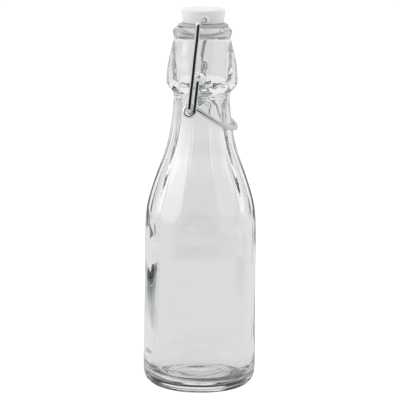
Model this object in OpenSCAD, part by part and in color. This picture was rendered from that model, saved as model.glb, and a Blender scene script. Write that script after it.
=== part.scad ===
// Clear glass swing-top bottle with ten moulded panels round its neck and
// shoulder, a plastic stopper, a rubber gasket and a two-piece wire closure.
// Millimetres. Origin on the bottle's axis, on the plane it stands on. +Z up.
// +X is the side of the lever's handle. The wire pivots run along Y.

/* [Glass body] */
// Largest diameter of the body
body_d = 61.1; // [60:0.1:62]
// Height of the glass up to the top of the lip
glass_h = 196; // [195.5:0.1:196]
// Radius of the ring that the bottle stands on
foot_r = 23.6; // [22.5:0.1:24]
// Height of the rounded heel
heel_h = 8.5; // [7:0.5:10]
// Thickness of the body's side wall
wall = 3.9; // [3.3:0.1:4.2]
// Height of the push-up under the base
punt_h = 3.4; // [2:0.2:4]

/* [Panels] */
// Number of flat panels round the neck and shoulder
panels = 10; // [10:1:12]
// Angle of the panels about the axis, from the wire pivots
panel_turn = 6; // [0:1:18]
// Height at which the arched foot of each panel starts
arch_z0 = 93; // [90:0.5:96]
// Height at which each panel has its full width
arch_z1 = 105; // [102:0.5:108]

/* [Mouth] */
// Radius of the mouth's bore
mouth_r = 9.8; // [9.6:0.1:10.2]
// Radius of the rounded lip bead
lip_r = 16; // [15.6:0.1:16.2]
// Largest radius of the bulb that carries the closure
bulb_r = 19.15; // [18.8:0.05:19.3]

/* [Closure wire] */
// Diameter of the wire of the lever and the bail
wire_d = 2.5; // [2.3:0.1:2.5]
// Running clearance round each wire pivot
pivot_gap = 0.1; // [0.06:0.02:0.1]
// Height of the lever's pivots in the bulb
pivot_z = 170; // [169.5:0.25:170.5]
// Distance of the lever's coils behind the axis
coil_x = 4.4; // [4:0.1:4.6]
// Height of the lever's coils
coil_z = 152.7; // [152.5:0.1:153]
// Mean radius of the lever's coils
coil_r = 2.6; // [2.6:0.05:2.7]
// Downward slope of the lever's handle, in degrees
handle_drop = 32; // [31:0.5:33]
// Distance of the handle's tip from the axis
handle_reach = 18.4; // [18.3:0.1:19]

/* [Stopper] */
// Height of the wire's hole through the stopper
hole_z = 200.4; // [200.4:0.1:201]
// Offset of the wire's hole from the axis
hole_x = 2.1; // [1.5:0.1:2.1]
// Offset of the seated stopper from the axis
seat_x = 0.4; // [0.2:0.1:0.6]
// Radius of the stopper's head
head_r = 11.9; // [11.5:0.1:12]
// Radius of the gasket's lower edge
gasket_r = 13.6; // [13:0.1:13.8]

/* [Hidden] */
$fn = 96;
wr = wire_d / 2;
k = body_d / 61.1;

// ---- outside of the glass: stations [height, radius at a panel's edge]
STA = [
    [heel_h, 30.45 * k], [14, 30.55 * k], [20, 30.5 * k], [30, 30.4 * k],
    [42, 30.25 * k], [50, 30.1 * k], [62, 30.1 * k], [72, 30.25 * k],
    [80, 30.2 * k], [88, 30 * k], [92.5, 29.8], [97, 29.35], [101.5, 28.7],
    [106, 27.6], [110.5, 26.15], [115, 24.6], [119, 23.1], [123.5, 21.5],
    [128, 19.8], [132, 18.55], [136.5, 17.5], [141, 16.8], [145, 16.25],
    [150, 15.7], [154, 15.35], [158.5, 15.1], [160.4, 15.2]];
// ---- the bulb and the lip bead, from the neck up
BULB = [
    [160.9, 15.6], [161.6, 16.6], [162.5, 17.6], [163.6, 18.35],
    [165, 18.9], [166.6, bulb_r - 0.05], [168.5, bulb_r], [171, bulb_r - 0.1],
    [173.5, 18.8], [176, 18.4], [179, 17.8], [182, 17.1], [185, 16.3],
    [187.6, 15.65], [189.4, 15.35], [190.5, 15.25], [191.3, lip_r - 0.4],
    [192.4, lip_r], [193.5, lip_r - 0.1], [194.7, lip_r - 0.65],
    [195.6, lip_r - 1.7], [glass_h, lip_r - 2.9]];

// Radius of the outside at height z, by linear steps between the stations
function at(t, z, i = 0) =
    z <= t[0][0] ? t[0][1] :
    i >= len(t) - 1 ? t[len(t) - 1][1] :
    z <= t[i + 1][0]
        ? t[i][1] + (t[i + 1][1] - t[i][1]) * (z - t[i][0]) / (t[i + 1][0] - t[i][0])
        : at(t, z, i + 1);

// Half of the angle that a panel covers at height z: none below the arch,
// a rounded rise over the arch, then half of a full panel
full = 180 / panels;
function half_angle(z) =
    z <= arch_z0 ? 0 :
    z >= arch_z1 ? full :
    full * sqrt(1 - pow((arch_z1 - z) / (arch_z1 - arch_z0), 2));

function heel() = [for (i = [0:9]) let (t = i * 10)
    [foot_r + (30.45 * k - foot_r) * sin(t), heel_h - heel_h * cos(t)]];

// Underside, from the axis to the standing ring
function punt() = [
    [0, punt_h], [6, punt_h - 0.1], [10, punt_h - 0.4], [14, punt_h - 1],
    [17.5, punt_h - 1.8], [20, 0.9], [21.6, 0.3], [foot_r - 1, 0]];

function inside() = [
    [0, 6.8], [8, 6.6], [15, 5.9], [20, 5.6], [22.9, 6.4], [25.2, 8.8],
    [26.3, 12.4], [30.5 * k - wall, 17], [30.1 * k - wall, 46],
    [30.1 * k - wall, 62], [30.3 * k - wall, 76], [26.3, 86], [25.8, 94.5],
    [24.8, 101], [23.1, 107.5], [20.9, 114], [18.4, 120.5], [15.9, 127],
    [13.9, 134], [12.6, 141], [11.9, 148], [11.8, 155], [12.4, 159.5],
    [13.3, 163], [14.1, 166.5], [14.5, 170], [14.6, 174], [14.5, 179],
    [14.2, 183], [13.9, 186], [13.6, 188.5], [13.3, 190.2], [12.7, 191.3],
    [11.5, 192], [10.3, 192.9], [mouth_r, 194], [mouth_r, 195.2],
    [10.5, glass_h], [10.5, glass_h + 2], [0, glass_h + 2]];

// One panel: everything behind its face, as wide as the bottle
module panel(a) {
    face = concat(
        [[-36, -1], [40, -1], [40, arch_z0 - 1],
         [at(STA, arch_z0) + 0.2, arch_z0 - 0.6]],
        [for (i = [1:6]) let (z = arch_z0 + (arch_z1 - arch_z0) * (1 - cos(i * 15)))
            [at(STA, z) * cos(half_angle(z)), z]],
        [for (s = STA) if (s[0] > arch_z1 + 0.5 && s[0] < 155)
            [s[1] * cos(full), s[0]]],
        [[15.25 * cos(full), 156.4], [15.9, 157.8], [15.9, 160.9],
         [18.1, 163.2], [bulb_r * cos(12.5), 165.8],
         [bulb_r * cos(12.5), 170.4], [18.28, 174.6], [17.31, 179.8],
         [16.95, 182.9], [40, 188.5],
         [40, glass_h + 1], [-36, glass_h + 1]]);
    rotate([0, 0, a]) rotate([90, 0, 0])
        translate([0, 0, -36]) linear_extrude(72) polygon(face);
}

module bottle() {
    color("gainsboro") difference() {
        intersection() {
            rotate_extrude() polygon(concat(
                punt(), heel(),
                [for (s = STA) if (s[0] > heel_h)
                    [s[1] + (s[0] > 103 ? 0.15 : 0), s[0]]],
                [for (s = BULB) [s[1], s[0]]], [[0, glass_h]]));
            intersection_for(i = [0:panels - 1])
                panel(-90 + panel_turn + i * 360 / panels);
        }
        rotate_extrude() polygon(inside());
        // The two dimples that hold the lever's pivots
        for (s = [-1, 1]) translate([0, s * 16.2, pivot_z]) rotate([-s * 90, 0, 0]) {
            cylinder(r = wr + pivot_gap, h = 5);
            translate([0, 0, 1]) cylinder(r1 = 1.9, r2 = 4.3, h = 2.5);
        }
    }
}

module stopper() {
    color("white") difference() {
        union() {
            translate([seat_x, 0, 0]) rotate_extrude() polygon([
                [0, 190], [4.2, 190], [4.9, 190.5], [4.9, 190.9], [4.2, 191.3],
                [4.2, 197.9], [11.1, 197.9], [11.25, 199.2],
                [head_r - 0.3, 201.3], [head_r - 0.05, 203.4],
                [head_r, 204.6], [head_r - 0.25, 205.1], [head_r - 0.8, 205.4],
                [9.4, 205.4], [8.8, 205], [0, 205]]);
            // A boss round each end of the wire's hole
            for (s = [-1, 1]) translate([hole_x, 0, hole_z]) rotate([-s * 90, 0, 0]) {
                translate([0, 0, 8]) cylinder(r = 2.45, h = 4.1);
                translate([0, 0, 12.1]) cylinder(r1 = 2.45, r2 = 2, h = 0.5);
            }
        }
        translate([hole_x, 0, hole_z]) rotate([90, 0, 0])
            cylinder(r = wr + pivot_gap, h = 30, center = true);
    }
}

module gasket() {
    color("silver") translate([seat_x, 0, 0]) rotate_extrude() polygon([
        [4.95, 189.7], [7.2, 189.7], [8.2, 190.6], [8.7, 195], [8.8, 196.1],
        [gasket_r - 0.3, 196.1], [gasket_r, 196.35], [gasket_r, 196.75],
        [11.35, 197.85], [4.25, 197.85], [4.25, 191.35], [4.95, 190.95]]);
}

// A straight length of wire from point a to point b
module rod(a, b) {
    d = b - a;
    l = norm(d);
    translate(a) rotate([0, acos(d[2] / l), atan2(d[1], d[0])])
        cylinder(r = wr, h = l);
}

// A quarter bend of wire. It starts at the origin along +X and turns to +Y
module elbow(r) {
    translate([0, r, 0]) rotate([0, 0, -90])
        rotate_extrude(angle = 90) translate([r, 0]) circle(r = wr);
}

bend = 2;        // centreline radius of the wire's square bends
arm_y = 23.75;   // distance of the bail's arms from the middle
leg_y = 20.95;   // distance of the lever's legs and outer coils
lap_y = 18.6;    // distance of the lever's inner coils and handle ends
top_x = 0.45;    // where the bail's arms meet the height of the hole
arm_a = atan((coil_x + top_x) / (hole_z - coil_z));
arm_l = (hole_z - coil_z) / cos(arm_a);
jog_y0 = 14.4;   // distance of the crossbar's first slight bend from the middle
jog_y1 = 20.6;   // distance of its second slight bend

// The bail: a crossbar through the stopper, two arms, and two ends that are
// bent in through the lever's coils
module bail() {
    color("lightsteelblue") {
        rod([hole_x, -jog_y0, hole_z], [hole_x, jog_y0, hole_z]);
        for (s = [0, 1]) mirror([0, s, 0]) {
            translate([hole_x, jog_y0, hole_z]) rotate([90, 0, 0]) sphere(r = wr + 0.03);
            rod([hole_x, jog_y0, hole_z], [top_x, jog_y1, hole_z]);
            translate([top_x, jog_y1, hole_z]) rotate([90, 0, 0]) sphere(r = wr + 0.03);
            translate([top_x, 0, hole_z]) rotate([0, arm_a, 0]) {
                translate([0, jog_y1, 0]) rotate([-90, 0, 0])
                    cylinder(r = wr, h = arm_y - bend - jog_y1);
                translate([0, arm_y - bend, 0]) rotate([-90, 0, 90]) elbow(bend);
                translate([0, arm_y, -arm_l + bend])
                    cylinder(r = wr, h = arm_l - 2 * bend);
                translate([0, arm_y - bend, -arm_l]) mirror([0, 0, 1])
                    rotate([-90, 0, 90]) elbow(bend);
                translate([0, 16.9, -arm_l]) rotate([-90, 0, 0])
                    cylinder(r = wr, h = arm_y - bend - 16.9);
            }
        }
    }
}

// The lever: two pivot tips, two legs, two coils and a handle round the neck
reach_c = sqrt(coil_x * coil_x + pow(pivot_z - coil_z, 2));
leg_a = atan(coil_x / (pivot_z - coil_z)) - asin(coil_r / reach_c);
leg_l = sqrt(reach_c * reach_c - coil_r * coil_r);
h0x = -coil_x + coil_r * sin(handle_drop);
h0z = coil_z + coil_r * cos(handle_drop);
hand_a = (handle_reach - h0x) / cos(handle_drop) - lap_y;

module lever() {
    color("lightsteelblue") {
        for (s = [0, 1]) mirror([0, s, 0]) {
            translate([0, 0, pivot_z]) rotate([0, leg_a, 0]) {
                translate([0, 16.6, 0]) rotate([-90, 0, 0])
                    cylinder(r = wr, h = leg_y - bend - 16.6);
                translate([0, leg_y - bend, 0]) rotate([-90, 0, 90]) elbow(bend);
                translate([0, leg_y, -leg_l])
                    cylinder(r = wr, h = leg_l - bend);
            }
            for (y = [leg_y, lap_y])
                translate([-coil_x, y, coil_z]) rotate([90, 0, 0])
                    rotate_extrude() translate([coil_r, 0]) circle(r = wr + 0.02);
            translate([h0x, lap_y, h0z]) rotate([0, 90 + handle_drop, 0])
                cylinder(r = wr, h = hand_a);
        }
        translate([h0x, 0, h0z]) rotate([0, handle_drop, 0])
            translate([hand_a, 0, 0]) rotate([0, 0, -92])
                rotate_extrude(angle = 184) translate([lap_y, 0]) circle(r = wr - 0.02);
    }
}

bottle();
stopper();
gasket();
bail();
lever();
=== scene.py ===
# Looks of a clear glass swing-top bottle: moulded glass with ten flat panels,
# a white plastic stopper, a grey rubber gasket, and the bent wires of its closure.
import math

import bpy
import numpy as np
from mathutils import Matrix, Vector


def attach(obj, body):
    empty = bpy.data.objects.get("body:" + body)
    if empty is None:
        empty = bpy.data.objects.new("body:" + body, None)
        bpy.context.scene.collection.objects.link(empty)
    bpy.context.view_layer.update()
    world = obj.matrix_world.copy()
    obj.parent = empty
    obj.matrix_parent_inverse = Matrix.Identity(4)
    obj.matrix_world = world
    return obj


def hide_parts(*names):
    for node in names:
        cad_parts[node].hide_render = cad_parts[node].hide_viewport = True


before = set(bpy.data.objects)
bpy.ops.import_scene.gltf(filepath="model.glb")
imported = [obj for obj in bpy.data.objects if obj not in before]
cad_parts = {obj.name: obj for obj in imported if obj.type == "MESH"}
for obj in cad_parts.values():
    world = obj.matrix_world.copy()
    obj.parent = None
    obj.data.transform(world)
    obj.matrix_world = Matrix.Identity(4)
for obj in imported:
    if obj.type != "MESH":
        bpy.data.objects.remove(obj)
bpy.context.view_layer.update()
MM = 0.001
scene = bpy.context.scene

# ------------------------------------------------------------------ sizes, mm
PANELS = 10
TURN = math.radians(6)
ARCH0, ARCH1 = 93.0, 105.0
PIVOT_Z = 170.0
COIL = (-4.4, 152.7)
COIL_R = 2.6
WIRE_R = 1.25
LEG_Y, LAP_Y, ARM_Y = 20.98, 18.45, 23.75
DROP = math.radians(32)
REACH = 18.4
HOLE = (2.1, 200.4)
TOP_X = 0.45
SEAT_X = 0.4
FOOT_R, HEEL_H = 23.6, 8.5

STA = [
    (8.5, 30.45), (14, 30.55), (20, 30.5), (30, 30.4), (42, 30.25), (50, 30.1),
    (62, 30.1), (72, 30.25), (80, 30.2), (88, 30.0), (92.5, 29.8), (97, 29.35),
    (101.5, 28.7), (106, 27.6), (110.5, 26.15), (115, 24.6), (119, 23.1),
    (123.5, 21.5), (128, 19.8), (132, 18.55), (136.5, 17.5), (141, 16.8),
    (145, 16.25), (150, 15.7), (154, 15.35), (158.5, 15.1), (160.4, 15.2),
]
BULB = [
    (160.9, 15.6), (161.6, 16.6), (162.5, 17.6), (163.6, 18.35), (165, 18.9),
    (166.6, 19.1), (168.5, 19.15), (171, 19.05), (173.5, 18.8), (176, 18.4),
    (179, 17.8), (182, 17.1), (185, 16.3), (187.6, 15.65), (189.4, 15.35),
    (190.5, 15.25), (191.3, 15.6), (192.4, 16.0), (193.5, 15.9), (194.7, 15.35),
    (195.6, 14.3), (196, 13.1),
]
UNDER = [
    (0, 3.4), (6, 3.3), (10, 3.0), (14, 2.4), (17.5, 1.6), (20, 0.9),
    (21.6, 0.3), (22.5, 0.03), (23.6, 0.0),
]
INSIDE = [
    (10.6, 196), (9.9, 195.4), (9.8, 194.8), (9.8, 194), (10.3, 192.9),
    (11.5, 192), (12.7, 191.3), (13.3, 190.2), (13.6, 188.5), (13.9, 186),
    (14.2, 183), (14.5, 179), (14.6, 174), (14.5, 170), (14.1, 166.5),
    (13.3, 163), (12.4, 159.5), (11.8, 155), (11.9, 148),
    (12.6, 141), (13.9, 134), (15.9, 127), (18.4, 120.5), (20.9, 114),
    (23.1, 107.5), (24.8, 101), (25.8, 94.5), (26.3, 86), (26.4, 76),
    (26.2, 62), (26.2, 46), (26.6, 17), (26.3, 12.4),
    (25.2, 8.8), (22.9, 6.4), (20, 5.6), (15, 5.9), (8, 6.6), (0, 6.8),
]


# ------------------------------------------------------------------- helpers
def smin(a, b, w):
    """The lesser of two surfaces, with a soft join of width w between them."""
    h = np.maximum(w - np.abs(a - b), 0) / w
    return np.minimum(a, b) - h * h * w * 0.25


def step(x, a, b):
    t = np.clip((x - a) / (b - a), 0, 1)
    return t * t * (3 - 2 * t)


def dense(points, gap=0.05):
    """A polyline through the points, with a point at every gap."""
    p = np.array(points, float)
    s = np.concatenate([[0], np.cumsum(np.hypot(*np.diff(p, axis=0).T))])
    t = np.arange(0, s[-1], gap)
    t = np.append(t, s[-1])
    return np.stack([np.interp(t, s, p[:, 0]), np.interp(t, s, p[:, 1])], 1)


def rounded(p, sigma, gap=0.05):
    """The polyline p smoothed along its length. Its ends lie on the axis."""
    n = int(3 * sigma / gap)
    k = np.exp(-0.5 * (np.arange(-n, n + 1) * gap / sigma) ** 2)
    k /= k.sum()
    flip = np.array([-1, 1])
    q = np.concatenate([p[n:0:-1] * flip, p, p[-2 : -n - 2 : -1] * flip])
    return np.stack([np.convolve(q[:, i], k, "valid") for i in (0, 1)], 1)


def mesh_object(name, verts, faces, smooth=True):
    me = bpy.data.meshes.new(name)
    me.from_pydata([tuple(v) for v in verts], [], faces)
    me.update()
    me.polygons.foreach_set("use_smooth", [smooth] * len(me.polygons))
    o = bpy.data.objects.new(name, me)
    scene.collection.objects.link(o)
    return o


def grid_faces(rows, cols, poles):
    """Faces of a surface of revolution: rows of cols points, and a pole at each end."""
    i, j = np.meshgrid(np.arange(rows - 1), np.arange(cols), indexing="ij")
    k = (j + 1) % cols
    quads = np.stack([i * cols + j, i * cols + k, (i + 1) * cols + k, (i + 1) * cols + j], -1)
    faces = [tuple(f) for f in quads.reshape(-1, 4).tolist()]
    if poles:
        a, b = rows * cols, rows * cols + 1
        last = (rows - 1) * cols
        for c in range(cols):
            d = (c + 1) % cols
            faces.append((a, d, c))
            faces.append((last + c, last + d, b))
    return faces


def revolve(name, points, sigma=0.25, cols=160, gap=0.25, centre=(0.0, 0.0)):
    """A closed turned body from a profile that starts and ends on the axis."""
    p = rounded(dense(points, 0.02), sigma, 0.02)
    every = max(1, int(gap / 0.02))
    p = p[every // 2 :: every]
    p = p[p[:, 0] > 0.02]
    th = np.arange(cols) * 2 * math.pi / cols
    x = p[:, :1] * np.cos(th) + centre[0]
    y = p[:, :1] * np.sin(th) + centre[1]
    z = np.repeat(p[:, 1:], cols, 1)
    v = np.stack([x, y, z], -1).reshape(-1, 3)
    ends = [[centre[0], centre[1], points[0][1]], [centre[0], centre[1], points[-1][1]]]
    v = np.concatenate([v, ends]) * MM
    return mesh_object(name, v, grid_faces(len(p), cols, True))


# --------------------------------------------------------------------- glass
def build_glass():
    heel = [
        (FOOT_R + (30.45 - FOOT_R) * math.sin(math.radians(t)),
         HEEL_H - HEEL_H * math.cos(math.radians(t)))
        for t in range(6, 90, 6)
    ]
    outer = UNDER + heel + [(r, z) for z, r in STA + BULB]
    n_out = len(dense(outer))
    line = dense(outer + INSIDE)
    fine, broad = rounded(line, 0.4), rounded(line, 2.4)
    z = line[:, 1]
    out = np.arange(len(line)) < n_out
    w_out = step(z, 12, 20) * (1 - step(z, 150, 156))
    w_in = step(z, 20, 30) * (1 - step(z, 172, 182))
    w = np.where(out, w_out, w_in)[:, None]
    line = fine * (1 - w) + broad * w
    # rings pressed into the push-up under the base
    r = line[:, 0]
    under = out & (z < 3.6) & (r < 23)
    line[under, 1] += 0.2 * (
        np.cos(2 * math.pi * (r[under] - 23) / 2.5) - 1
    ) * step(r[under], 12, 16) * (1 - step(r[under], 21.6, 22.6)) * -1
    # points along the profile: close together where the form is fine
    s = np.concatenate([[0], np.cumsum(np.hypot(*np.diff(line, axis=0).T))])
    z = line[:, 1]
    gap = np.where(z < 9, 0.45, np.where(z < 86, 1.3, np.where(z < 158, 0.75, 0.34)))
    gap = np.where(~out & (z > 158), 0.55, gap)
    pick, last = [4], s[4]
    for i in range(5, len(s)):
        if s[i] - last >= gap[i]:
            pick.append(i)
            last = s[i]
    pick = np.array(pick)
    r, z, out = line[pick, 0], line[pick, 1], out[pick]
    keep = r > 0.15
    r, z, out = r[keep], z[keep], out[keep]
    cols = 360
    th = np.arange(cols) * 2 * math.pi / cols
    R, Z = np.repeat(r[:, None], cols, 1), np.repeat(z[:, None], cols, 1)
    T = np.repeat(th[None, :], len(r), 0)

    # ten flat panels: arched feet at the shoulder, and faint ones on the bulb
    full = math.pi / PANELS
    d = (T - (-math.pi / 2 + TURN) + full) % (2 * full) - full
    level = np.arange(70, 162, 0.1)
    t = np.clip((level - ARCH0) / (ARCH1 - ARCH0), 0, 1)
    top = np.clip((level - 154.8) / 2.8, 0, 1)
    half = full * np.sqrt(1 - (1 - t) ** 2) * np.sqrt(1 - top ** 2)
    share = np.cos(half) + np.clip(ARCH0 - level, 0, None) * 0.004
    kernel = np.exp(-0.5 * (np.arange(-60, 61) / 17) ** 2)
    soft = np.convolve(np.pad(share, 60, "edge"), kernel / kernel.sum(), "valid")
    share = np.where(level < 140, soft, share)
    bulb = np.radians(12.5) * step(Z, 163.2, 166.5) * (1 - step(Z, 178, 185))
    half = np.where(Z > 160.9, bulb, np.interp(Z, level, half))
    apothem = R * np.where(Z > 160.9, np.cos(bulb), np.interp(Z, level, share))
    apothem = np.where(Z > 160.9, apothem + 0.5 * (1 - step(Z, 164, 166.5))
                       + 0.6 * step(Z, 180, 186), apothem)
    p1 = apothem / np.cos(d)
    p2 = apothem / np.cos(2 * full - np.abs(d))
    low = 1 - step(Z, 108, 132)
    faces = smin(p1, p2, 0.42 + 0.8 * low)
    whole = R + 0.5 * step(Z, 101, 107) * (1 - step(Z, 152, 155))
    shaped = smin(faces, whole, 0.3 + 0.1 * low)
    on = (step(Z, 84, 92) * (1 - step(Z, 186, 190)))
    outside = R * (1 - on) + shaped * on

    # the inside follows the panels softly
    R_edge = np.interp(Z, [v[0] for v in STA + BULB], [v[1] for v in STA + BULB])
    p1 = R_edge * np.where(Z > 160.9, np.cos(bulb), np.minimum(np.interp(Z, level, share), 1))
    soft = smin(p1 / np.cos(d), R_edge + 0 * d, 1.2)
    inside = R - 0.55 * np.clip(R_edge - soft, 0, 3) * step(Z, 88, 104) * (1 - step(Z, 180, 188))

    # the unevenness of moulded glass, greater inside than outside
    def ripple(seed, size):
        rng = np.random.RandomState(seed)
        total = np.zeros_like(Z)
        for _ in range(14):
            n = rng.randint(0, 7)
            k = rng.uniform(0.5, 1) * 2 * math.pi / size
            total += np.cos(n * T + rng.uniform(0, 6.28)) * np.cos(k * Z + rng.uniform(0, 6.28))
        return total / 14 ** 0.5

    outside = outside + 0.015 * ripple(3, 34) * step(Z, 10, 30)
    inside = inside + (0.12 - 0.06 * step(Z, 84, 96) * (1 - step(Z, 150, 160))) * ripple(8, 30) * step(Z, 12, 24) * (1 - step(Z, 172, 186))
    rng = np.random.RandomState(12)
    collar = np.zeros_like(Z)
    for _ in range(18):
        collar += np.cos(rng.randint(6, 26) * T + rng.uniform(0, 6.28)) * np.cos(Z * rng.uniform(0.6, 1.6) + rng.uniform(0, 6.28))
    outside = outside + 0.03 * collar * step(Z, 152, 156) * (1 - step(Z, 163, 168))
    # the wall is a little thicker towards the left of the body
    inside = inside - (0.45 - 0.2 * np.cos(T)) * step(Z, 12, 24) * (1 - step(Z, 80, 96))
    # fine moulding ridges round the top of the neck
    for at, high, wide in ((159.0, 0.16, 0.3), (156.9, 0.2, 0.34), (154.6, 0.14, 0.32), (151.8, 0.06, 0.4)):
        near = 1 + 0.35 * np.cos(3 * T + at)
        outside = outside + high * near * np.exp(-(((Z - at) / wide) ** 2))
    # the inner floor is uneven: low facets that fan out from its middle
    facets = np.zeros_like(Z)
    for lean, way in ((0.05, 0.4), (0.06, 1.9), (0.045, 3.2), (0.065, 4.3), (0.05, 5.4)):
        facets = np.maximum(facets, lean * R * np.cos(T - way))
    floor_lift = np.where(out[:, None] | (Z > 9), 0, facets * step(R, 0.5, 3) * (1 - step(R, 15, 19)))
    rings_in = 0.10 * (np.cos(2 * math.pi * (R - 23) / 2.7) - 1) * step(R, 13, 16) * (1 - step(R, 22, 24))
    floor_lift = floor_lift + np.where(out[:, None] | (Z > 9), 0, rings_in)
    # mould seams, one on each side
    for side in (0.0, math.pi):
        dt = np.abs((T - side + math.pi) % (2 * math.pi) - math.pi) * R
        outside = outside + 0.05 * np.exp(-(dt / 0.22) ** 2) * step(Z, 3, 6) * (1 - step(Z, 186, 189))

    # dimples for the lever's pivots
    for side in (-1, 1):
        dt = (T - side * math.pi / 2 + math.pi) % (2 * math.pi) - math.pi
        near = np.abs(dt) < 1.0
        rho = np.hypot(18.8 * np.sin(dt), Z - PIVOT_Z)
        w = np.where(near, 0.15 * (1 - step(rho, 1.4, 3.6)) + 0.85 * (1 - np.clip((rho - 1.55) / 1.95, 0, 1)), 0)
        floor_r = 16.2 / np.cos(np.where(near, dt, 0))
        outside = outside * (1 - w) + floor_r * w
        inside = inside - np.where(near, 0.45 * np.exp(-(rho / 3.0) ** 2), 0)

    F = np.where(out[:, None], outside, inside)
    v = np.stack([F * np.cos(T), F * np.sin(T), Z + floor_lift], -1).reshape(-1, 3)
    v = np.concatenate([v, [[0, 0, 3.4], [0, 0, 6.8]]]) * MM
    return mesh_object("bottle_glass", v, grid_faces(len(r), cols, True))


# --------------------------------------------------------------------- wires
def fillet(points, radii):
    """The path through the points, with each corner turned to its radius."""
    p = [np.array(q, float) for q in points]
    path = [p[0]]
    for i in range(1, len(p) - 1):
        a, b, c, r = p[i - 1], p[i], p[i + 1], radii[i - 1]
        u, v = (a - b) / np.linalg.norm(a - b), (c - b) / np.linalg.norm(c - b)
        ang = math.acos(np.clip(np.dot(u, v), -1, 1))
        if r <= 0 or math.pi - ang < 0.02:
            path.append(b)
            continue
        reach = r / math.tan(ang / 2)
        mid = (u + v) / np.linalg.norm(u + v)
        centre = b + mid * r / math.sin(ang / 2)
        s, e = b + u * reach - centre, b + v * reach - centre
        turn = math.pi - ang
        n = max(3, int(turn * r / 0.3))
        for k in range(n + 1):
            t = k / n
            path.append(centre + (s * math.sin((1 - t) * turn) + e * math.sin(t * turn)) / math.sin(turn))
    path.append(p[-1])
    return path


def even(path, gap):
    """The same path with points at even gaps."""
    p = np.array(path)
    s = np.concatenate([[0], np.cumsum(np.linalg.norm(np.diff(p, axis=0), axis=1))])
    t = np.linspace(0, s[-1], max(2, int(s[-1] / gap)) + 1)
    return np.stack([np.interp(t, s, p[:, i]) for i in range(3)], 1)


def sweep(name, path, radius, sides=22):
    """A round wire along the path, with each end rounded over."""
    p = np.array(path)
    tan = np.gradient(p, axis=0)
    tan /= np.linalg.norm(tan, axis=1)[:, None]
    n = np.cross(tan[0], [0.3, 0.2, 0.9])
    n /= np.linalg.norm(n)
    frames = []
    for t in tan:
        n = n - t * np.dot(n, t)
        n /= np.linalg.norm(n)
        frames.append((n, np.cross(t, n)))
    rings = []
    for k in range(5, 0, -1):
        a = k / 5 * math.pi / 2 * 0.96
        rings.append((p[0] - tan[0] * radius * 0.55 * math.sin(a), frames[0], radius * math.cos(a)))
    rings += [(q, f, radius) for q, f in zip(p, frames)]
    for k in range(1, 6):
        a = k / 5 * math.pi / 2 * 0.96
        rings.append((p[-1] + tan[-1] * radius * 0.55 * math.sin(a), frames[-1], radius * math.cos(a)))
    th = np.arange(sides) * 2 * math.pi / sides
    v = np.concatenate([
        q + r * (np.cos(th)[:, None] * a + np.sin(th)[:, None] * b) for q, (a, b), r in rings
    ])
    ends = [p[0] - tan[0] * radius * 0.55, p[-1] + tan[-1] * radius * 0.55]
    v = np.concatenate([v, ends]) * MM
    faces = grid_faces(len(rings), sides, True)
    faces = [tuple(reversed(f)) for f in faces]
    o = mesh_object(name, v, faces)
    # the winding follows the frame's handedness, so it is set from the volume
    me = o.data
    vol = 0.0
    me.calc_loop_triangles()
    for t in me.loop_triangles:
        a, b, c = (me.vertices[i].co for i in t.vertices)
        vol += a.dot(b.cross(c))
    if vol < 0:
        me.flip_normals()
    return o


def mirrored(path):
    return [np.array([q[0], -q[1], q[2]]) for q in path]


def wander(path, seed, size, fixed):
    """The slight waviness of a wire bent by hand, none near the fixed points."""
    rng = np.random.RandomState(seed)
    p = np.array(path)
    s = np.concatenate([[0], np.cumsum(np.linalg.norm(np.diff(p, axis=0), axis=1))])
    move = np.zeros_like(p)
    for i in range(3):
        for _ in range(4):
            move[:, i] += np.sin(s * 2 * math.pi / rng.uniform(22, 60) + rng.uniform(0, 6.28)) * 0.5
    hold = np.ones(len(p))
    for f in fixed:
        hold *= step(np.linalg.norm(p - np.array(f), axis=1), 5, 14)
    return p + move * size * hold[:, None]


def build_lever():
    cx, cz = COIL
    dist = math.hypot(cx, PIVOT_Z - cz)
    lean = math.atan2(-cx, PIVOT_Z - cz) - math.asin(COIL_R / dist)
    h0 = np.array([cx + COIL_R * math.sin(DROP), LAP_Y, cz + COIL_R * math.cos(DROP)])
    run = (REACH - h0[0]) / math.cos(DROP) - LAP_Y
    u = np.array([math.cos(DROP), 0, -math.sin(DROP)])
    hub = np.array([h0[0], 0, h0[2]]) + u * run
    path = [hub + LAP_Y * (u * math.cos(t) + np.array([0, 1, 0]) * math.sin(t))
            for t in np.linspace(0, math.pi / 2, 70)]
    path += [h0 + u * run * k for k in np.linspace(1, 0, 12)[1:-1]]
    a0, a1 = math.pi / 2 - DROP, 2 * math.pi - lean
    for a in np.linspace(a0, a1, 64):
        t = (a - a0) / (a1 - a0)
        y = LAP_Y + (LEG_Y - LAP_Y) * float(step(t, 0.05, 0.95))
        path.append(np.array([cx + COIL_R * math.cos(a), y, cz + COIL_R * math.sin(a)]))
    foot = path[-1]
    leg = fillet([foot, (0, LEG_Y, PIVOT_Z), (0, 16.6, PIVOT_Z)], [2.0])
    leg = list(even([foot, leg[1]], 1.0))[1:] + leg[2:-1] + list(even([leg[-2], leg[-1]], 0.8))[1:]
    half = path + leg
    whole = mirrored(half[::-1])[:-1] + half
    whole = wander(whole, 5, 0.1, [(cx, LAP_Y, cz), (cx, -LAP_Y, cz), (0, 18, PIVOT_Z), (0, -18, PIVOT_Z)])
    return sweep("lever_wire", whole, WIRE_R)


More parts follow.
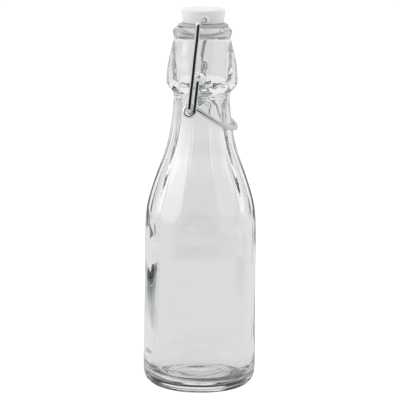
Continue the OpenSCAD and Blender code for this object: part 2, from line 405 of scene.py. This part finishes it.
def build_bail():
    cx, cz = COIL
    hx, hz = HOLE
    corners = [(cx, 16.9, cz), (cx, ARM_Y, cz), (TOP_X, ARM_Y, hz), (TOP_X, 20.4, hz), (hx, 14.4, hz), (hx, 0, hz)]
    half = fillet(corners, [2.0, 2.0, 5.0, 6.0])
    half = even(half, 0.35)
    whole = list(half) + mirrored(half[::-1])[1:]
    whole = wander(whole, 9, 0.09, [(cx, 20, cz), (cx, -20, cz), (hx, 10, hz), (hx, -10, hz), (hx, 0, hz)])
    return sweep("bail_wire", whole, WIRE_R)


# ------------------------------------------------------------------- stopper
def apply_modifiers(o):
    dg = bpy.context.evaluated_depsgraph_get()
    me = bpy.data.meshes.new_from_object(o.evaluated_get(dg))
    old = o.data
    o.modifiers.clear()
    o.data = me
    bpy.data.meshes.remove(old)
    me.polygons.foreach_set("use_smooth", [True] * len(me.polygons))
    return o


def build_stopper():
    body = revolve("stopper_plastic", [
        (0, 190.0), (4.2, 190.0), (4.9, 190.5), (4.9, 190.9), (4.2, 191.3), (4.2, 197.9),
        (11.1, 197.9), (11.25, 199.2), (11.6, 201.3), (11.85, 203.4), (11.9, 204.7),
        (11.75, 205.15), (11.3, 205.4), (9.6, 205.4), (8.9, 204.95), (0, 204.95),
    ], 0.16, 144, 0.3, (SEAT_X, 0))
    for side in (-1, 1):
        boss = revolve("boss", [
            (0, 7), (2.45, 7), (2.45, 11.2), (2.3, 11.9), (1.8, 12.45), (0, 12.6),
        ], 0.22, 64, 0.3)
        turn = Matrix.Rotation(-side * math.pi / 2, 4, "X")
        boss.data.transform(Matrix.Translation((HOLE[0] * MM, 0, HOLE[1] * MM)) @ turn)
        m = body.modifiers.new("boss", "BOOLEAN")
        m.operation, m.object, m.solver = "UNION", boss, "EXACT"
        apply_modifiers(body)
        bpy.data.objects.remove(boss)
    bore = revolve("bore", [(0, -16), (1.36, -16), (1.36, 16), (0, 16)], 0.02, 48, 0.5)
    bore.data.transform(Matrix.Translation((HOLE[0] * MM, 0, HOLE[1] * MM)) @ Matrix.Rotation(math.pi / 2, 4, "X"))
    m = body.modifiers.new("bore", "BOOLEAN")
    m.operation, m.object, m.solver = "DIFFERENCE", bore, "EXACT"
    apply_modifiers(body)
    bpy.data.objects.remove(bore)
    m = body.modifiers.new("skin", "REMESH")
    m.mode, m.voxel_size = "VOXEL", 0.17 * MM
    apply_modifiers(body)
    m = body.modifiers.new("soften", "SMOOTH")
    m.factor, m.iterations = 0.5, 5
    apply_modifiers(body)
    return body


def build_gasket():
    return revolve("gasket_rubber", [
        (5.0, 189.7), (7.2, 189.7), (8.2, 190.6), (8.7, 195), (8.82, 196.05),
        (13.2, 196.1), (13.6, 196.35), (13.6, 196.8), (11.3, 197.85), (4.3, 197.85),
        (4.3, 191.4), (5.0, 190.9), (5.0, 189.7),
    ], 0.12, 180, 0.2, (SEAT_X, 0))


# ----------------------------------------------------------------- materials
class Nodes:
    def __init__(self, name):
        self.mat = bpy.data.materials.new(name)
        self.mat.use_nodes = True
        self.t = self.mat.node_tree
        self.bsdf = next(n for n in self.t.nodes if n.type == "BSDF_PRINCIPLED")
        self.coords = self.new("ShaderNodeTexCoord")

    def new(self, kind, **values):
        n = self.t.nodes.new(kind)
        for k, v in values.items():
            setattr(n, k, v)
        return n

    def link(self, a, b):
        self.t.links.new(a, b)

    def noise(self, scale, detail=3.0, rough=0.5, stretch=(1, 1, 1)):
        m = self.new("ShaderNodeMapping")
        m.inputs["Scale"].default_value = stretch
        self.link(self.coords.outputs["Object"], m.inputs["Vector"])
        n = self.new("ShaderNodeTexNoise")
        n.inputs["Scale"].default_value = scale
        n.inputs["Detail"].default_value = detail
        n.inputs["Roughness"].default_value = rough
        self.link(m.outputs["Vector"], n.inputs["Vector"])
        return n.outputs["Fac"]

    def ramp(self, source, stops):
        r = self.new("ShaderNodeValToRGB")
        e = r.color_ramp.elements
        while len(e) < len(stops):
            e.new(0.5)
        for el, (pos, col) in zip(e, stops):
            el.position = pos
            el.color = (*col, 1) if len(col) == 3 else col
        self.link(source, r.inputs["Fac"])
        return r.outputs["Color"]

    def span(self, source, lo, hi, a=0.3, b=0.7):
        m = self.new("ShaderNodeMapRange")
        m.inputs["From Min"].default_value = a
        m.inputs["From Max"].default_value = b
        m.inputs["To Min"].default_value = lo
        m.inputs["To Max"].default_value = hi
        self.link(source, m.inputs["Value"])
        return m.outputs["Result"]

    def bump(self, height, strength, distance, under=None):
        b = self.new("ShaderNodeBump")
        b.inputs["Strength"].default_value = strength
        b.inputs["Distance"].default_value = distance
        self.link(height, b.inputs["Height"])
        if under is not None:
            self.link(under, b.inputs["Normal"])
        return b.outputs["Normal"]

    def set(self, name, value):
        s = self.bsdf.inputs[name]
        if isinstance(value, bpy.types.NodeSocket):
            self.link(value, s)
        else:
            s.default_value = value


def glass_material():
    n = Nodes("clear_glass")
    n.set("Transmission Weight", 1.0)
    n.set("IOR", 1.5)
    n.set("Base Color", n.ramp(n.noise(14, 2, 0.5, (1, 1, 0.5)), [(0.3, (0.955, 0.965, 0.957)), (0.7, (0.967, 0.975, 0.967))]))
    n.set("Roughness", n.span(n.noise(60, 3), 0.0, 0.012))
    n.set("Normal", n.bump(n.noise(55, 2, 0.45, (1, 1, 0.45)), 0.35, 0.0006))
    return n.mat


def plastic_material():
    n = Nodes("white_plastic")
    n.set("Base Color", n.ramp(n.noise(160, 4), [(0.3, (0.86, 0.87, 0.86)), (0.7, (0.9, 0.905, 0.895))]))
    n.set("Roughness", n.span(n.noise(420, 4, 0.6), 0.28, 0.42))
    n.set("Subsurface Weight", 0.35)
    n.set("Subsurface Radius", (0.0022, 0.002, 0.0018))
    n.set("Subsurface Scale", 1.0)
    n.set("IOR", 1.49)
    n.set("Normal", n.bump(n.noise(900, 3, 0.6), 0.12, 0.00006))
    return n.mat


def rubber_material():
    n = Nodes("grey_rubber")
    n.set("Base Color", n.ramp(n.noise(220, 4), [(0.3, (0.56, 0.56, 0.545)), (0.7, (0.63, 0.63, 0.615))]))
    n.set("Roughness", n.span(n.noise(500, 4, 0.6), 0.42, 0.6))
    n.set("Subsurface Weight", 0.3)
    n.set("Subsurface Radius", (0.0016, 0.0015, 0.0014))
    n.set("Subsurface Scale", 1.0)
    n.set("Transmission Weight", 0.2)
    n.set("Normal", n.bump(n.noise(1400, 3, 0.6), 0.2, 0.00008))
    return n.mat


def wire_material():
    n = Nodes("plated_wire")
    n.set("Metallic", 1.0)
    n.set("Base Color", n.ramp(n.noise(260, 4, 0.6), [(0.3, (0.68, 0.70, 0.69)), (0.7, (0.78, 0.80, 0.785))]))
    xyz = n.new("ShaderNodeSeparateXYZ")
    n.link(n.coords.outputs["Object"], xyz.inputs["Vector"])
    held = n.new("ShaderNodeMath", operation="MULTIPLY")
    n.link(n.span(xyz.outputs["X"], 0, 1, -0.001, 0.004), held.inputs[0])
    n.link(n.span(xyz.outputs["Z"], 1, 0, 0.154, 0.157), held.inputs[1])
    rough = n.new("ShaderNodeMath", operation="MULTIPLY_ADD")
    n.link(held.outputs[0], rough.inputs[0])
    rough.inputs[1].default_value = 0.3
    n.link(n.span(n.noise(700, 4, 0.6), 0.05, 0.13), rough.inputs[2])
    n.set("Roughness", rough.outputs[0])
    n.set("Normal", n.bump(n.noise(520, 3, 0.6), 0.15, 0.00008))
    return n.mat


# --------------------------------------------------------------------- build
glass = build_glass()
lever = build_lever()
bail = build_bail()
stopper = build_stopper()
gasket = build_gasket()

wire = wire_material()
for piece, body, node, slot, mat in (
    (glass, "bottle", "bottle", "clear_glass", glass_material()),
    (lever, "lever", "lever", "plated_wire", wire),
    (bail, "bail", "bail", "plated_wire", wire),
    (stopper, "stopper", "stopper", "white_plastic", plastic_material()),
    (gasket, "stopper", "gasket", "grey_rubber", rubber_material()),
):
    piece.data.materials.clear()
    piece.data.materials.append(mat)
    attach(piece, body)
    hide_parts(node)


# --------------------------------------------------------------------- stage
def build_floor(name, radius, drop, glow):
    rings, cols = [0.0, 0.05, 0.1, 0.2, 0.3, radius], 96
    v = [(0, 0, -drop)]
    for r in rings[1:]:
        v += [(r * math.cos(2 * math.pi * i / cols), r * math.sin(2 * math.pi * i / cols), -drop) for i in range(cols)]
    f = [(0, 1 + i, 1 + (i + 1) % cols) for i in range(cols)]
    for k in range(len(rings) - 2):
        a, b = 1 + k * cols, 1 + (k + 1) * cols
        f += [(a + i, b + i, b + (i + 1) % cols, a + (i + 1) % cols) for i in range(cols)]
    o = mesh_object(name, v, f)
    n = Nodes("pale_" + name)
    n.set("Base Color", n.ramp(n.noise(30, 3), [(0.3, (0.055, 0.055, 0.055)), (0.7, (0.065, 0.065, 0.065))]))
    n.set("Roughness", 0.9)
    n.set("Emission Color", (1, 1, 1, 1))
    n.set("Emission Strength", glow)
    o.data.materials.append(n.mat)
    return o


# the floor that the camera sees is lit up to white, and the one that lights
# the bottle and shows through it is as pale as the room behind it
floor = build_floor("floor", 0.4, 0.00002, 1.02)
floor.visible_diffuse = floor.visible_glossy = floor.visible_transmission = False
floor_light = build_floor("floor_light", 0.38, 0.00001, 0.66)
floor_light.visible_camera = False


def shade_floor(o, level):
    """The soft shadow where the bottle's heel meets the floor."""
    t = o.data.materials[0].node_tree
    bsdf = next(n for n in t.nodes if n.type == "BSDF_PRINCIPLED")
    coords = t.nodes.new("ShaderNodeTexCoord")
    away = t.nodes.new("ShaderNodeVectorMath")
    away.operation = "DISTANCE"
    t.links.new(coords.outputs["Object"], away.inputs[0])
    away.inputs[1].default_value = (-0.004, 0.003, 0)
    ramp = t.nodes.new("ShaderNodeValToRGB")
    e = ramp.color_ramp.elements
    for _ in range(3):
        e.new(0.5)
    for el, (pos, c) in zip(e, ((0.0, 1.0), (0.23, 1.0), (0.27, 0.12), (0.33, 0.16), (0.46, 1.0))):
        el.position, el.color = pos, (c, c, c, 1)
    reach = t.nodes.new("ShaderNodeMath")
    reach.operation = "MULTIPLY"
    t.links.new(away.outputs["Value"], reach.inputs[0])
    reach.inputs[1].default_value = 10.0
    t.links.new(reach.outputs[0], ramp.inputs["Fac"])
    # none of it behind the bottle
    sep = t.nodes.new("ShaderNodeSeparateXYZ")
    t.links.new(coords.outputs["Object"], sep.inputs["Vector"])
    rear = t.nodes.new("ShaderNodeMapRange")
    rear.inputs["From Min"].default_value = -0.002
    rear.inputs["From Max"].default_value = 0.014
    t.links.new(sep.outputs["Y"], rear.inputs["Value"])
    pale = t.nodes.new("ShaderNodeMath")
    pale.operation = "MAXIMUM"
    t.links.new(ramp.outputs["Color"], pale.inputs[0])
    t.links.new(rear.outputs["Result"], pale.inputs[1])
    glow = t.nodes.new("ShaderNodeMath")
    glow.operation = "MULTIPLY"
    t.links.new(pale.outputs[0], glow.inputs[0])
    glow.inputs[1].default_value = level
    t.links.new(glow.outputs[0], bsdf.inputs["Emission Strength"])


shade_floor(floor_light, 0.66)


def build_card():
    """A dark card that lies on the floor behind the bottle, outside of the picture."""
    v, f = [], []

    def patch(near, far, base, n=24):
        k = len(v)
        for i in range(n + 1):
            r = near + (far - near) * i / n
            edge = base + 0.7 * math.sin(r * 90)
            v.extend((r * math.sin(a), r * math.cos(a), 0.0001) for a in (math.radians(-84), math.radians(edge)))
        f.extend((k + 2 * i, k + 2 * i + 2, k + 2 * i + 3, k + 2 * i + 1) for i in range(n))

    patch(0.166, 0.284, -35)
    patch(0.288, 0.330, -34)
    o = mesh_object("dark_card", v, f)
    n = Nodes("dark_card")
    away = n.new("ShaderNodeVectorMath", operation="LENGTH")
    n.link(n.coords.outputs["Object"], away.inputs[0])
    far = n.span(away.outputs["Value"], 0, 1, 0.0, 0.4)
    n.set("Base Color", n.ramp(far, [
        (0.0, (0.74, 0.74, 0.74)), (0.43, (0.74, 0.74, 0.74)), (0.51, (0.34, 0.35, 0.36)),
        (0.69, (0.1, 0.11, 0.12)), (0.72, (0.008, 0.01, 0.02))]))
    n.set("Roughness", 0.95)
    n.set("Specular IOR Level", 0.1)
    o.data.materials.append(n.mat)
    o.visible_camera = False


build_card()


def area(name, where, aim, size, power):
    d = bpy.data.lights.new(name, "AREA")
    d.shape, d.size, d.size_y, d.energy = "RECTANGLE", size[0], size[1], power
    o = bpy.data.objects.new(name, d)
    o.location = where
    o.rotation_euler = (Vector(aim) - Vector(where)).to_track_quat("-Z", "Y").to_euler()
    scene.collection.objects.link(o)
    # the room has soft boxes of its own for the reflections
    o.visible_glossy = o.visible_transmission = False


area("key", (-0.75, -0.35, 0.62), (0, 0, 0.12), (0.35, 0.5), 1.0)
area("fill", (0.8, -0.1, 0.55), (0, 0, 0.12), (0.4, 0.5), 0.6)

# the room: pale all round, dark on the side that the photographer stands on,
# with a bright soft box to the left and a weaker one to the right
world = bpy.data.worlds.new("room")
scene.world = world
world.use_nodes = True
wt = world.node_tree
wt.nodes.clear()
co = wt.nodes.new("ShaderNodeTexCoord")
sep = wt.nodes.new("ShaderNodeSeparateXYZ")
wt.links.new(co.outputs["Generated"], sep.inputs["Vector"])
path = wt.nodes.new("ShaderNodeLightPath")


def wmath(op, *values):
    m = wt.nodes.new("ShaderNodeMath")
    m.operation = op
    for i, x in enumerate(values):
        if isinstance(x, (int, float)):
            m.inputs[i].default_value = x
        else:
            wt.links.new(x, m.inputs[i])
    return m.outputs[0]


def smooth_range(x, a, b):
    m = wt.nodes.new("ShaderNodeMapRange")
    m.interpolation_type = "SMOOTHSTEP"
    m.inputs["From Min"].default_value = a
    m.inputs["From Max"].default_value = b
    wt.links.new(x, m.inputs["Value"])
    return m.outputs["Result"]


def between(x, a, b, c, d):
    """One from b to c, none below a and above d."""
    return wmath("MULTIPLY", smooth_range(x, a, b), wmath("SUBTRACT", 1.0, smooth_range(x, c, d)))


# azimuth of a direction: 0 is behind the object, 180 towards the camera
az = wmath("MULTIPLY", wmath("ARCTAN2", sep.outputs["X"], sep.outputs["Y"]), 180 / math.pi)
up = wmath("MULTIPLY", wmath("ARCSINE", sep.outputs["Z"]), 180 / math.pi)
front = smooth_range(wmath("ABSOLUTE", az), 118, 140)
front_gloss = wmath("ADD", smooth_range(az, 88, 118), smooth_range(wmath("MULTIPLY", az, -1.0), 116, 134))
dark = wmath("MULTIPLY", front, wmath("SUBTRACT", 1.0, smooth_range(up, 28, 46)))
left_box = wmath("MULTIPLY", between(az, -134, -120, -108, -94), between(up, -6, 26, 40, 60))
right_box = wmath("MULTIPLY", between(az, 96, 110, 120, 134), between(up, -6, 26, 40, 60))
# what lies behind the edge of the pale backdrop, which only the glass sees
far_band = wmath("MULTIPLY", between(az, -50, -42, 42, 50), smooth_range(up, 15, 19))
far_sides = wmath("MULTIPLY", between(wmath("ABSOLUTE", az), 22, 30, 56, 68), smooth_range(up, 6, 11))

dark_gloss = wmath("MULTIPLY", front_gloss, wmath("SUBTRACT", 1.0, smooth_range(up, 20, 34)))
by_gloss = wmath("ADD", wmath("MULTIPLY", wmath("SUBTRACT", 1.0, wmath("MULTIPLY", dark_gloss, 0.98)), 0.80),
                 wmath("ADD", wmath("MULTIPLY", left_box, 3.2), wmath("MULTIPLY", right_box, 0.6)))
by_diffuse = wmath("SUBTRACT", 0.95, wmath("MULTIPLY", dark, 0.5))
behind = wmath("MAXIMUM", wmath("MAXIMUM", far_band, far_sides), smooth_range(up, 24, 32))
pale = wmath("ADD", 0.79, wmath("MULTIPLY", smooth_range(up, -9.5, -5), 0.16))
through = wmath("MULTIPLY", wmath("MULTIPLY", pale, wmath("SUBTRACT", 1.0, wmath("MULTIPLY", behind, 0.95))),
                wmath("SUBTRACT", 1.0, wmath("MULTIPLY", dark, 0.85)))


def pick(flag, a, b):
    m = wt.nodes.new("ShaderNodeMix")
    m.data_type = "FLOAT"
    wt.links.new(path.outputs[flag], m.inputs["Factor"])
    for name, x in (("A", a), ("B", b)):
        if isinstance(x, (int, float)):
            m.inputs[name].default_value = x
        else:
            wt.links.new(x, m.inputs[name])
    return m.outputs["Result"]


level = pick("Is Diffuse Ray", by_gloss, by_diffuse)
# what lies inside the glass is lit through it from all sides
within = wmath("MINIMUM", path.outputs["Diffuse Depth"], 1.0)
through = wmath("ADD", wmath("MULTIPLY", through, wmath("SUBTRACT", 1.0, within)), wmath("MULTIPLY", within, 3.8))
level = pick("Is Transmission Ray", level, through)
level = pick("Is Camera Ray", level, 1.1)
bg = wt.nodes.new("ShaderNodeBackground")
bg.inputs["Color"].default_value = (1, 1, 1, 1)
wt.links.new(level, bg.inputs["Strength"])
wo = wt.nodes.new("ShaderNodeOutputWorld")
wt.links.new(bg.outputs["Background"], wo.inputs["Surface"])
scene.view_settings.view_transform = "Standard"
scene.cycles.max_bounces = 40
scene.cycles.transmission_bounces = 40
scene.cycles.glossy_bounces = 24

# -------------------------------------------------------------------- camera
AZ, DIST, HIGH, AIM = math.radians(6.0), 1.250, 0.335, 0.100
cam_data = bpy.data.cameras.new("camera")
cam = bpy.data.objects.new("camera", cam_data)
scene.collection.objects.link(cam)
scene.camera = cam
pitch = math.atan((HIGH - AIM) / DIST) - math.radians(0.057)
cam_data.sensor_width = 36.0
cam_data.lens = 2346.9 * 36 / 400
cam_data.clip_start = 0.05
cam.location = (math.sin(AZ) * DIST, -math.cos(AZ) * DIST, HIGH)
cam.rotation_euler = (
    Matrix.Rotation(AZ + math.radians(0.02), 4, "Z")
    @ Matrix.Rotation(math.pi / 2 - pitch, 4, "X")
    @ Matrix.Rotation(math.radians(0.58), 4, "Z")
).to_euler()
